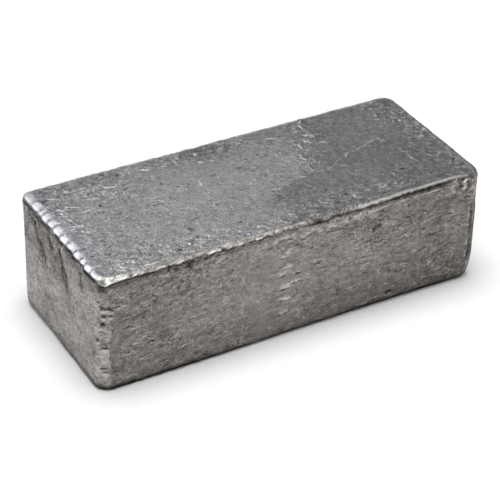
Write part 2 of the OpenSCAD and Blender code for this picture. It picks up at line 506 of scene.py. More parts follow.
longRidge = dict(
    shown=[(18, 0.0), (28, 1.0), (78, 1.0), (86, 0.4), (97, 0.15)],
    crest=[(2, 3.6), (24, 3.2), (44, 3.5), (55, 4.1), (77, 4.4), (86, 4.7), (91, 4.2), (96, 3.0)],
    crestShown=[(18, 0.0), (25, 0.35), (32, 1.0), (86, 1.0), (93, 0.4), (97, 0.1)],
    crestWaver=0.2, crestWidth=1.4, crestBright=0.52, crestRise=0.18,
    ledge=[(20, -2.4), (27, -1.5), (38, -0.9), (54, -0.2), (65, 0.1), (76, 0.2), (85, -0.5), (95, -0.5)],
    ledgeWaver=0.3, ledgeWidth=0.5, ledgeBright=0.4, ledgeBreaks=(-0.4, 0.1), ledgeRise=0.2,
    overLedge=0.9, underCrest=1.0, grooveBlur=0.5, grooveDepth=0.35,    # groove between them, with painted shade
    grooveShade=0.38, crumbShade=0.35, crumbFrom=(-0.2, 0.3),
    crackUnder=1.7, crackWidth=1.1, crackDark=0.72, crackBreaks=(-1.0, -0.2), crackDepth=0.15,
    teeth=[(20, 0.0), (24, 1.0), (31, 1.0), (35, 0.0)],    # short teeth where the crest begins
    toothBand=(2.4, 4.8, 0.5), toothStep=2.4, toothLean=0.9, toothWaver=1.2,
    toothCrest=(0.2, 0.9), toothBreaks=(-0.9, -0.1), toothRise=0.12, toothBright=0.9,
    toothGap=(-0.2, -0.9), gapDepth=0.15, gapDark=0.6,
    knot=90.5, knotWidth=7.2, knotBand=(-4.8, 3.6, 0.8), knotTone=0.1,    # crumpled skin where it ends
    knotLight=(0.02, 0.3), knotRise=0.12, knotBright=0.5,
    knotDark=(-0.05, -0.28), knotDepth=0.35, knotBlack=0.68,
)


def ridgeEdges(g):
    r = longRidge
    x, side = g.alongLong, longRim(g)
    shown = side * along(x, r["shown"])
    crest = along(x, r["crest"]) + r["crestWaver"] * g.wander
    ledge = along(x, r["ledge"]) + r["ledgeWaver"] * g.wander
    # painted shade in the groove and along the crack under the crest, painted highlight on the crest and the
    # ledge
    groove = shown * band(g.edge, ledge + r["overLedge"], crest - r["underCrest"], r["grooveBlur"])
    g.depth -= r["grooveDepth"] * groove
    g.paintShade(groove * (r["grooveShade"] + r["crumbShade"] * ramp(g.crumbs, *r["crumbFrom"])))
    dark = r["crackDark"] * shown * ramp(g.crumbs, *r["crackBreaks"])
    g.draw("crack", g.edge - crest + r["crackUnder"], r["crackWidth"], dark, -r["crackDepth"])
    light = r["crestBright"] * side * along(x, r["crestShown"]) * g.shownLong
    g.draw("crease", g.edge - crest, r["crestWidth"], light, r["crestRise"])
    light = r["ledgeBright"] * shown * g.shownLong * ramp(g.crumbs, *r["ledgeBreaks"])
    g.draw("crease", g.edge - ledge, r["ledgeWidth"], light, r["ledgeRise"])
    teeth = side * along(x, r["teeth"]) * band(g.edge, *r["toothBand"])
    wave = np.sin(2 * np.pi * (x - r["toothLean"] * g.edge + r["toothWaver"] * g.wander) / r["toothStep"])
    light = teeth * g.shownLong * ramp(wave, *r["toothCrest"]) * ramp(g.crumbs, *r["toothBreaks"])
    g.raised(light, r["toothRise"], r["toothBright"])
    g.press(teeth * ramp(wave, *r["toothGap"]), r["gapDepth"], r["gapDark"])
    knot = side * bump(x, r["knot"], r["knotWidth"]) * band(g.edge, *r["knotBand"])
    g.tone += r["knotTone"] * knot * g.shownLong
    g.raised(knot * g.shownLong * ramp(g.crumbs, *r["knotLight"]), r["knotRise"], r["knotBright"])
    g.press(knot * ramp(g.crumbs, *r["knotDark"]), r["knotDepth"], r["knotBlack"])


# Upright corners: turns in degrees from the end's face to the long one. A trio is a start, an end and a blur

uprights = dict(
    steep=0.7,    # the marks lie where the face leans less than this
    lump=0.35, lumpSize=3.4,
    # folds: height, turn, half turn, half height, depth
    folds=[(48.6, 38, 6, 0.5, 0.4), (46.2, 47, 11, 0.4, 0.5), (44.7, 72, 28, 0.4, 0.4),
           (41.0, 58, 8, 0.7, 0.5), (41.6, 86, 9, 0.6, 0.4), (36.1, 54, 12, 0.8, 0.5),
           (28.5, 30, 7, 1.1, 0.4), (23.3, 60, 18, 0.3, 0.3), (12.4, 53, 15, 0.5, 0.6),
           (10.3, 58, 15, 0.4, 0.6)],
    level=0.0007, facing=60,    # they sink away from this turn, in mm for each degree squared
    shiftX=1.9, shiftY=2.7,    # and lie higher on the other corners
    foldBlur=5, foldStray=0.5, foldWidth=1.6, foldDark=0.96,
    ridgeUnder=1.0, ridgeWidth=0.7, ridgeRise=0.14, ridgeBright=0.52,    # light ridge under each fold
    # lip of the near corner, by turn: foot and top across the rim, and the cut under it
    lipFoot=[(0, 2.6), (45, 0.2), (90, 0.5)], lipTop=[(0, 5.2), (45, 5.4), (90, 4.6)], lipBlur=0.4,
    lipStray=0.5, lipSpecks=0.7, lipFrom=(-0.6, 0.1), lipRise=0.05, lipBright=0.92, lipLumps=0.4,
    cut=[(0, 1.9), (45, -0.7), (90, -0.5)], cutWidth=0.55, cutDark=0.95, cutDepth=0.4,
    hollow=(53.6, 57.4, 1.2), hollowTurn=(36, 76, 9), hollowStray=1.5, hollowStrayTurn=8,    # painted shadow in the hollow under that lip
    hollowDepth=0.5, hollowDark=0.6, hollowShade=0.5,
    lighterTone=0.14, lighterTurn=(88, 70), lighterLumps=10, lighterWaver=8,    # lighter, up to a step
    # darker blocks between the folds: height, turn, half turn, half height, how dark
    blocks=[(25.2, 58, 16, 1.8, 0.3), (37.2, 55, 14, 1.8, 0.35), (41.4, 68, 24, 1.1, 0.35)],
    blockBlur=0.6, blockBlurTurn=4,
    smooth=(14.5, 21.5, 1), smoothTurn=(42, 74, 5), smoothBright=0.22,
    stepTurn=80, stepHeights=(6, 50, 3), stepBreaks=(-0.4, 0.2), stepStray=1.2, stepWidth=0.4,
    stepBright=0.34, stepRise=0.05, stepCrack=0.9, stepDark=0.3, stepDepth=0.1,
)


def foldUprights(g):
    r = uprights
    upright = abs(g.nz) < r["steep"]
    corner = g.corner * upright
    lumps = field(g.bent, (r["lumpSize"],) * 3, 15, octaves=3, smooth=0.6)
    g.grain(r["lump"], corner * g.nearCorner * lumps)
    shift = r["shiftY"] * (g.y >= 0) + r["shiftX"] * (g.x >= 0)
    for z, middle, half, tall, depth in r["folds"]:
        level = g.z - z - shift + r["foldStray"] * lumps + r["level"] * (g.turn - r["facing"]) ** 2
        span = g.nearCorner * upright * band(g.turn, middle - half, middle + half, r["foldBlur"])
        g.draw("crack", level, r["foldWidth"] * tall, r["foldDark"] * span, -depth)
        ridge = bump(level, -tall - r["ridgeUnder"], r["ridgeWidth"])
        g.raised(span * ridge, r["ridgeRise"], r["ridgeBright"])
    # white lip of the corner, rubbed metal with a painted highlight, with a cut and a hollow of painted
    # shadow under it
    curve = g.corner * g.nearCorner
    place = g.edge + r["lipStray"] * lumps
    g.draw("crack", place - along(g.turn, r["cut"]), r["cutWidth"], r["cutDark"] * curve, -r["cutDepth"])
    lip = curve * band(place, along(g.turn, r["lipFoot"]), along(g.turn, r["lipTop"]), r["lipBlur"])
    g.raised(lip * ramp(lumps + r["lipSpecks"] * g.crumbs, *r["lipFrom"]), r["lipRise"], r["lipBright"])
    g.depth += r["lipLumps"] * lip * lumps
    hollow = g.nearCorner * band(g.turn + r["hollowStrayTurn"] * lumps, *r["hollowTurn"])
    hollow *= band(g.z + r["hollowStray"] * lumps, *r["hollow"])
    g.press(hollow, r["hollowDepth"], r["hollowDark"])
    g.paintShade(r["hollowShade"] * hollow)
    # below that the near corner is lighter, with a step beside it
    lightened = corner * g.nearest
    strayed = g.turn + r["lighterLumps"] * lumps + r["lighterWaver"] * g.wander
    g.tone += r["lighterTone"] * lightened * ramp(strayed, *r["lighterTurn"])
    for z, middle, half, tall, dark in r["blocks"]:
        block = lightened * band(g.turn, middle - half, middle + half, r["blockBlurTurn"])
        g.paintShade(dark * block * band(g.z, z - tall, z + tall, r["blockBlur"]))
    g.raised(lightened * band(g.turn, *r["smoothTurn"]) * band(g.z, *r["smooth"]), 0, r["smoothBright"])
    step = np.radians(g.turn - r["stepTurn"]) * brick["cornerRadius"] + lumps + r["stepStray"] * g.wander
    shown = g.nearCorner * band(g.z, *r["stepHeights"]) * ramp(g.crumbs, *r["stepBreaks"])
    g.draw("crease", step, r["stepWidth"], r["stepBright"] * shown, r["stepRise"])
    g.draw("crack", step - r["stepCrack"], r["stepWidth"], r["stepDark"] * shown, -r["stepDepth"])
    frameFaces(g, lumps)


faceFrame = dict(
    inset=4.8, foot=3.5, top=55.5, corner=5.0,    # thin raised line round each long face, near its ends
    facing=0.5, fade=3.0, stray=0.6, breaks=(-0.4, 0.4),
    width=0.45, bright=0.42, rise=0.25,
)


def frameFaces(g, lumps):
    r = faceFrame
    flat = halfX - r["inset"] - r["corner"]
    middle = (r["top"] + r["foot"]) / 2
    tall = (r["top"] - r["foot"]) / 2 - r["corner"]
    outX, outZ = np.maximum(abs(g.x) - flat, 0), np.maximum(abs(g.z - middle) - tall, 0)
    gap = np.hypot(outX, outZ) - r["corner"] + r["stray"] * g.wander
    shown = (g.long > r["facing"]) * (abs(g.nz) < r["facing"]) * ramp(lumps, *r["breaks"])
    shown = shown * ramp(abs(g.x), flat - r["fade"], flat + r["fade"])
    g.draw("crease", gap, r["width"], r["bright"] * shown, r["rise"])


cornerShadeAndWear = dict(
    # painted shade on the corner at the far end of the front, which turns away from the light: heights, then
    # turns with a blur
    stripTop=(47, 41), stripFoot=(8, 16), stripStray=6,
    shadeTurn=(40, 82, 6), paintedShade=0.42,
    darkTurn=(70, 82, 4), darkBreaks=(-0.8, -0.1), darkDepth=0.1, dark=0.62,
    lightTurn=88, lightWidth=4, lightBreaks=(0.0, 0.3), lightRise=0.05, light=0.5,
    # and its rim runs smoothly into the side
    blendFrom=(5, 25), blendTo=(100, 75),
    wallBand=(-48, -16, 4), blendWall=0.4, rimBand=(0, 2.6, 1.2), blendRim=0.3,
    footWear=[(1, -1, 1.8), (-1, 1, 1.0), (-1, -1, 0.3), (1, 1, 0.8)],    # signs of x and y, depth
    wearHeight=9.0,
)


def shadeAndWearCorners(g):
    r = cornerShadeAndWear
    far = (g.x > 0) * (g.y < 0)
    strip = far * ramp(g.z, *r["stripTop"]) * ramp(g.z, *r["stripFoot"])
    strayed = g.turn + r["stripStray"] * g.wander
    g.paintShade(r["paintedShade"] * strip * band(strayed, *r["shadeTurn"]))
    dark = strip * band(strayed, *r["darkTurn"]) * ramp(g.crumbs, *r["darkBreaks"])
    g.press(dark, r["darkDepth"], r["dark"])
    light = strip * bump(strayed, r["lightTurn"], r["lightWidth"]) * ramp(g.crumbs, *r["lightBreaks"])
    g.raised(light, r["lightRise"], r["light"])
    blend = far * ramp(g.turn, *r["blendFrom"]) * ramp(g.turn, *r["blendTo"])
    g.depth += blend * r["blendWall"] * band(g.edge, *r["wallBand"])
    g.depth -= blend * r["blendRim"] * band(g.edge, *r["rimBand"])
    for signX, signY, depth in r["footWear"]:
        here = (g.x * signX > 0) * (g.y * signY > 0) * np.sin(np.radians(2 * np.clip(g.turn, 0, 90)))
        g.depth -= depth * here * np.clip(1 - g.z / r["wearHeight"], 0, 1) ** 2


# Marks of the faces: lines and edges stray from the places given here

endMarks = dict(
    # stops of each crack as y, z, and its half width
    cracks=[([(24, 53), (23, 49), (20, 46), (16, 43), (14.5, 38)], 1.2),
            ([(-1, 57), (-2.5, 52), (-4, 46), (-8, 44), (-9.5, 40)], 1.1),
            ([(-4, 46), (-4, 43), (-7, 40), (-9, 37)], 0.8),
            ([(-22, 57), (-24, 52), (-24.5, 49)], 0.9),
            ([(10, 57), (9, 53), (7, 50)], 0.8)],
    core=0.7, stray=1.2, dark=0.85, breaks=(-0.9, -0.2), depth=0.6,    # core is the black share of the width
    darkRound=0.4, darkRoundReach=2.4,    # darker round each crack
    blotch=(9.0, 12.0, 8.0), blotchTone=0.2,
)


def markEnds(g):
    r = endMarks
    dark = r["dark"] * g.onEnd * ramp(g.strayU, *r["breaks"])
    for stops, reach in r["cracks"]:
        gap = lineGap(g.alongEnd + r["stray"] * g.strayU, g.z + r["stray"] * g.strayV, stops)
        g.draw("crack", gap, r["core"] * reach, dark, -r["depth"])
        g.paintShade(r["darkRound"] * g.onEnd * bump(gap, 0, r["darkRoundReach"]))
    g.tone += r["blotchTone"] * g.end * field(g.at, r["blotch"], 21, octaves=3, smooth=0.6)


frontMarks = dict(
    tip=0.6,    # flaps and flow lines fade beyond this share of their half
    # flaps, sharp below and sloping above: x, z, half length, height
    flaps=[(-6.2, 45.0, 3.6, 1.4), (-5.8, 38.2, 3.8, 1.2), (-8.2, 35.0, 3.2, 2.4), (-0.8, 29.9, 3.0, 1.0),
           (-6.6, 27.6, 3.6, 2.0), (-6.6, 20.9, 3.6, 1.8), (-7.5, 13.6, 3.6, 1.7)],
    flapSlope=0.12, flapStray=0.9, flapFoot=(-0.35, 0.0), flapTop=(1.2, 0.1), flapRise=0.6, flapBright=0.42,
    flapCrack=0.5, flapCrackWidth=0.45, flapCrackDark=0.7, flapCrackDepth=0.15,    # painted shadow line under each flap
    # holes: x, z, size
    holes=[(43.5, 46.5, 1.8), (40.5, 45, 1.0), (-56, 46, 1.2), (-62, 45, 1.0), (-30.5, 5, 1.0), (52, 6, 0.8)],
    holeLong=0.8, holeStray=1.1, holeCore=0.2, holeDepth=0.7, holeDark=0.5, holeRim=1.4, holeRing=0.6,
    # scars with a light rim: x, z stops
    scars=[[(-69.8, 15.5), (-67, 17), (-66, 19.5)], [(-66, 19.5), (-64, 21), (-62, 23.6)],
           [(-31, 3), (-29.5, 7)], [(-97, 46), (-90, 44)], [(-9, 47.5), (3, 49.5)]],
    scarStrayX=1.5, scarStrayZ=1.2, scarWidth=0.5, scarDark=0.5, scarDepth=0.4,
    rim=1.2, rimWidth=0.6, rimBreaks=(0.0, 0.4), rimRise=0.1, rimBright=0.3,
    # flow lines, where the lead froze in layers: zones as x, z and reach, and the lines in each
    flow=[(-70, 40, 26, 14, 12), (-62, 15, 28, 9, 6), (12, 42, 24, 12, 20), (34, 36, 26, 9, 13),
          (72, 36, 22, 16, 11), (70, 14, 20, 8, 5)],
    flowLength=(2.5, 8.5), flowSlope=0.12, flowDark=(0.2, 0.55), flowSeed=6,
    flowStrayX=1.5, flowStrayZ=0.9, flowWidth=0.4, flowDepth=0.12,
    crest=0.9, crestWidth=0.5, crestBright=0.5, crestRise=0.12,    # light line beside each
    # edge of the calm patch
    step=-28.6, stepRise=0.2, stepStray=1.1, stepBlur=1.0, stepWidth=0.9,
    stepBright=0.16, stepTop=(46, 40), stepBreaks=(-0.4, 0.2),
)


def markFronts(g):
    r = frontMarks
    across = g.alongLong
    for x, z, half, tall in r["flaps"]:
        level = (g.z - z - r["flapSlope"] * (across - x) + r["flapStray"] * g.strayU) / tall
        span = g.onLong * ramp(abs(across - x + g.strayV), half, r["tip"] * half)
        flap = span * ramp(level, *r["flapFoot"]) * ramp(level, *r["flapTop"])
        g.raised(flap, r["flapRise"], r["flapBright"])
        gap = (level + r["flapCrack"]) * tall
        g.draw("crack", gap, r["flapCrackWidth"], r["flapCrackDark"] * span, -r["flapCrackDepth"])
    for x, z, size in r["holes"]:
        gap = np.hypot((across - x) * r["holeLong"], g.z - z) + r["holeStray"] * g.strayU
        g.press(g.onLong * ramp(gap, size, r["holeCore"] * size), r["holeDepth"], r["holeDark"])
        g.paintShade(r["holeRing"] * g.onLong * ramp(gap, r["holeRim"] * size, r["holeCore"] * size))
    for stops in r["scars"]:
        gap = lineGap(across + r["scarStrayX"] * g.strayU, g.z + r["scarStrayZ"] * g.strayV, stops)
        g.draw("crack", gap, r["scarWidth"], r["scarDark"] * g.onLong, -r["scarDepth"])
        rim = g.onLong * bump(abs(gap), r["rim"], r["rimWidth"]) * ramp(g.strayU, *r["rimBreaks"])
        g.raised(rim, r["rimRise"], r["rimBright"])
    chance = np.random.default_rng(r["flowSeed"])
    for x, z, reachX, reachZ, count in r["flow"]:
        for i in range(count):
            midX, midZ = x + reachX * chance.uniform(-1, 1), z + reachZ * chance.uniform(-1, 1)
            half, dark = chance.uniform(*r["flowLength"]) / 2, chance.uniform(*r["flowDark"])
            slope = r["flowSlope"] * chance.uniform(-1, 1)
            gap = g.z - midZ - slope * (across - midX) + r["flowStrayZ"] * g.strayV
            span = g.onLong * ramp(abs(across - midX + r["flowStrayX"] * g.strayU), half, r["tip"] * half)
            g.draw("crack", gap, r["flowWidth"], dark * span, -r["flowDepth"])
            beside = gap + chance.choice([-r["crest"], r["crest"]])
            g.draw("crease", beside, r["crestWidth"], r["crestBright"] * dark * span, r["crestRise"])
    step = across + r["stepStray"] * g.strayU - r["step"]
    g.depth += g.onLong * r["stepRise"] * ramp(step, r["stepBlur"], -r["stepBlur"])
    shown = r["stepBright"] * g.onLong * ramp(g.z, *r["stepTop"]) * ramp(g.strayV, *r["stepBreaks"])
    g.draw("crease", step, r["stepWidth"], shown, 0)


topMarks = dict(
    # creases of the skin: x, y stops
    creases=[[(29.9, -6.4), (37.9, -5.9), (46.4, -1.0), (54.4, 2.0), (66.8, 5.4), (73, 7)],
             [(73, 7), (74.5, 3.5)], [(76.3, -5), (77, -9)], [(77.3, -12), (77.8, -16.5), (79, -23.5)],
             [(17.8, 28), (19.8, 22.5), (21.2, 14.4)], [(27.2, 7.7), (29.8, 1.8), (28.8, -5.3)],
             [(24, -6.4), (21.6, -6.8)], [(8, -11), (4, -10.4)], [(-48, 34), (-30, 31)]],
    creaseStray=0.9, crumble=0.8, creaseBright=0.55, creaseLeast=0.3, creaseBreaks=(-0.5, 0.1),
    width=0.45, swell=0.9, swellLimits=(0.3, 1.5), rise=0.24,
    # short bright dashes: x and y of both ends, half width
    dashes=[(-86.6, -33, -86.3, -35, 0.7), (-86.3, -35, -82.3, -38.4, 0.9), (-91.4, -34.5, -86, -38.6, 0.6),
            (-76.5, -38.5, -70.4, -39.4, 0.7), (-64.4, 26.8, -59.9, 24.9, 1.1),
            (-75.5, 27.8, -71.4, 28.3, 0.6), (-80, 29.8, -76.7, 30.3, 0.5), (-76.4, 21.2, -70.6, 19.4, 0.5),
            (-94.3, 31.6, -88, 26.9, 0.45),
            (-92.3, 18.9, -91.5, 18.6, 0.9), (-90.3, 17.7, -87.8, 18, 0.6), (-86.7, 19.6, -82.1, 16.5, 0.7),
            (-81.5, 12.2, -76.8, 13, 0.5), (-91.2, 10, -90.2, 8.1, 0.8), (-88.8, 3.8, -88.2, 3.3, 0.9),
            (-94.1, 0.9, -91.9, 1.2, 0.9), (-94.6, -16.4, -91.8, -19, 0.6), (-63.4, 21.6, -63.2, 17, 0.5),
            (23.9, 30.9, 28.2, 29.2, 0.6), (40.5, 30.8, 41.2, 30.3, 0.7), (44.4, 29.5, 45.8, 27.6, 0.6),
            (42, 25.4, 48.4, 23.3, 0.8), (39.5, 22.1, 41.5, 18.3, 0.9), (35.5, 18.9, 34.7, 16.1, 0.9),
            (35.1, 13.9, 36.8, 12.6, 0.7), (30.4, 7.6, 31.8, 5.6, 0.8), (44.8, 34.7, 44.9, 31.2, 0.6),
            (46, 16.8, 48.8, 15.3, 0.6), (-14.6, 26.5, -13.8, 25.9, 0.8), (-8.9, 25.5, -8, 25, 0.7),
            (-42.4, 32.5, -38.8, 30.6, 0.5), (-23.1, 12.2, -23.4, 8.6, 0.5), (-42.6, -8.1, -41.4, -8.8, 0.7)],
    dashStray=0.8, dashBright=0.72, dashSwell=0.8, dashLimits=(0.4, 1.4),
    # flecks lie thick along these lines: x, y stops, reach and share
    flecks=[([(46, 36), (44, 24), (33, 16), (30, 2)], 6, 1.0), ([(-94, 20), (-92, 5), (-90, -12)], 7, 1.0),
            ([(-84, 32), (-60, 22)], 8, 0.6), ([(88, 34), (95, 4), (94, -30)], 7, 0.8),
            ([(18, -33), (60, -30)], 8, 0.65), ([(-90, -30), (-40, -34), (8, -37)], 7, 0.9),
            ([(-50, 36), (10, 33)], 6, 0.6)],
    fleckAlong=(0.86, 0.5), fleckSize=(5.0, 1.7, 2.0),    # long where the skin was drawn over the top
    fleckFrom=(0.25, 0.5), fleckRise=0.2, fleckBright=0.42,
    crumbFrom=(0.44, 0.6), crumbRise=0.15, crumbBright=0.8,
    darkFrom=(-0.1, -0.5), darkTone=0.12, fleckRough=0.15,
    # lighter skin ends here, from back to front
    plateEdge=[(45, 43), (36, 20), (29, -3), (20, -7), (6, -12), (-2, -18), (-6, -43)],
    plateTone=0.08, plateBlur=8, shadeStray=4,
    patch=(-10, 34, 20, 11), patchTone=0.13, patchStray=0.4, patchFade=(1.2, 0.3),    # darker: x, y and reach
    backTone=0.05, backAt=(26, 38),    # and so is the back edge
)


def markTop(g):
    r = topMarks
    for stops in r["creases"]:
        gap = lineGap(g.x + r["creaseStray"] * g.strayU, g.y + r["creaseStray"] * g.strayV, stops)
        kept = r["creaseLeast"] + (1 - r["creaseLeast"]) * ramp(g.wander, *r["creaseBreaks"])
        wide = r["width"] * np.clip(r["swell"] + g.crumbs, *r["swellLimits"])
        g.draw("crease", gap + r["crumble"] * g.crumbs, wide, r["creaseBright"] * g.onTop * kept, r["rise"])
    for x0, y0, x1, y1, half in r["dashes"]:
        gap = lineGap(g.x + r["dashStray"] * g.strayU, g.y + r["dashStray"] * g.strayV, [(x0, y0), (x1, y1)])
        wide = half * np.clip(r["swell"] + r["dashSwell"] * g.crumbs, *r["dashLimits"])
        g.draw("crease", gap, wide, r["dashBright"] * g.onTop, r["rise"])
    ahead, aside = r["fleckAlong"]
    drawn = np.stack([ahead * g.x - aside * g.y, aside * g.x + ahead * g.y, g.z], 1)
    speck = field(drawn, r["fleckSize"], 20)
    for stops, reach, share in r["flecks"]:
        near = g.onTop * bump(lineGap(g.x, g.y, stops), 0, reach) * share
        g.raised(near * ramp(speck, *r["fleckFrom"]), r["fleckRise"], r["fleckBright"])
        g.raised(near * ramp(g.crumbs, *r["crumbFrom"]), r["crumbRise"], r["crumbBright"])
        g.tone -= r["darkTone"] * near * ramp(speck, *r["darkFrom"])
        g.rough += r["fleckRough"] * near
    stray = r["shadeStray"] * g.strayU
    edgeY, edgeX = zip(*sorted((y, x) for x, y in r["plateEdge"]))
    over = np.interp(g.y, edgeY, edgeX) - g.x + stray
    g.tone += g.flat * r["plateTone"] * (2 * ramp(over, -r["plateBlur"], r["plateBlur"]) - 1)
    x, y, reachX, reachY = r["patch"]
    away = np.hypot((g.x - x) / reachX, (g.y - y) / reachY) + r["patchStray"] * g.strayU
    g.tone -= r["patchTone"] * g.flat * ramp(away, *r["patchFade"])
    g.tone -= r["backTone"] * g.flat * ramp(g.y + stray, *r["backAt"])


def makeBrick():
    s = skinPlaces
    points, normals, edge, faces = skinGrid()
    g = SkinGrid(points, normals, edge)
    for shape in (castSkin, shapeFoot, rippleEnds, lipEdges, ridgeEdges, foldUprights, shadeAndWearCorners,
                  markEnds, markFronts, markTop):
        shape(g)
        print("relief:", shape.__name__)
    depth = g.depth * ramp(g.nz, *s["baseAt"])
    points = points + normals * (depth + g.foot)[:, None]
    points[:, 1] -= np.sign(points[:, 1]) * g.drawn * ramp(abs(points[:, 1]) / halfY, *s["drawnAt"])
    points = np.clip(points, [-halfX, -halfY, 0], [halfX, halfY, height])
    mesh = bpy.data.meshes.new("castBrick")
    mesh.from_pydata(points * mm, [], faces)
    mesh.update()
    mesh.shade_smooth()
    layers = dict(
        creviceShadow=g.creviceShadow, paintedShade=g.paintedShade, cold=g.cold, lightened=g.lightened * (1 - g.creviceShadow),
        tone=g.tone, fine=g.fine, rough=g.rough,
        poured=g.flat * ramp(g.edge + s["pouredWaver"] * g.wander, *s["pouredAt"]))
    for kind in g.lineAt:
        layers[kind + "At"], layers[kind + "Shown"] = g.lineAt[kind], g.lineShown[kind]
    for name, values in layers.items():
        layer = mesh.attributes.new(name, "FLOAT", "POINT")
        layer.data.foreach_set("value", np.clip(values, -s["noLine"], s["noLine"]).astype(np.float32))
    piece = bpy.data.objects.new("castBrick", mesh)
    bpy.context.collection.objects.link(piece)
    print("brick skin:", len(points), "points", sum(len(f) - 2 for f in faces), "triangles")
    return piece


# Lead, gravity cast and left to dull: grey oxide skin with a soft broad gloss, bright where rubbed, with
# painted highlights on lips and beads, painted shade under lips and along the foot, painted near-black
# shadow in cracks and pits. The faces that lay against the mould are warmer than the poured top.

castLead = dict(
    top=("#3d3b3c", "#c6c4c5"),         # hollows and crests
    side=("#3f3c39", "#cac5bf"),
    # rubbed metal and painted highlights
    bright="#edebe6",
    brightTop="#e6e5e8",
    brightEnd="#c8c6d8",                # painted reflection of a cold light on the sides of the beads
    paintedShade="#292624",
    creviceShadow="#161412",
    middle=0.36,
    roughness=0.42, crestRoughness=0.32, rubbedRoughness=0.22,
    glossFrom=0.2, glossTo=0.9,         # tones of the dull hollows and of the smoother crests
    # each grain of the skin: sizes in mm along x, y and z, detail, and turn about z in degrees
    grains=dict(
        grit=((2.6, 2.4, 1.3), 4.0, 0),
        speck=((0.9, 0.9, 0.8), 3.0, 0),         # finer in life, drawn as coarse as it needs to show
        patch=((14.0, 14.0, 10.0), 3.0, 0),
        clump=((11.0, 11.0, 8.0), 2.0, 0),
        mottle=((6.0, 6.0, 4.0), 3.0, 0),
        wrinkle=((7.0, 4.5, 4.0), 2.0, 30),
        fleck=((4.2, 1.5, 1.2), 3.0, 30),
        nick=((3.2, 1.8, 0.9), 3.0, 0),
        flake=((5.0, 4.6, 2.2), 3.0, 0),
        gate=((4.0, 4.0, 3.0), 2.0, 0),          # breaks the flakes' edges
        scratch=((9.0, 0.7, 9.0), 2.0, 42),
    ),
    grainStep=(0.3, 0.2, 0.1), grainRoughness=0.55,      # each grain starts elsewhere in the noise
    noiseMiddle=0.5,
    shares=dict(grit=0.5, speck=0.55, mottle=0.2),
    patchShare=0.24, fineShare=0.2,
    clumpFrom=(0.42, 0.60), fleckFrom=(0.60, 0.66), nickFrom=(0.61, 0.68), scratchFrom=(0.62, 0.74),
    gateFrom=(0.48, 0.56), wrinkleFrom=(0.035, 0.0),
    fleckShare=0.36, nickShare=0.42, scratchShare=0.2, crestShare=0.38, footShare=0.42, wrinkleShare=0.25,
    flakeSteps=6.0, flakeEdge=0.14, lineCore=0.3, lineJag=2.2,
    flakeRise=0.14, speckRise=0.14, fleckRise=0.15, nickDepth=0.2,       # relief in mm
    worn=0.85,                           # relief lost on rubbed metal and painted highlights
)


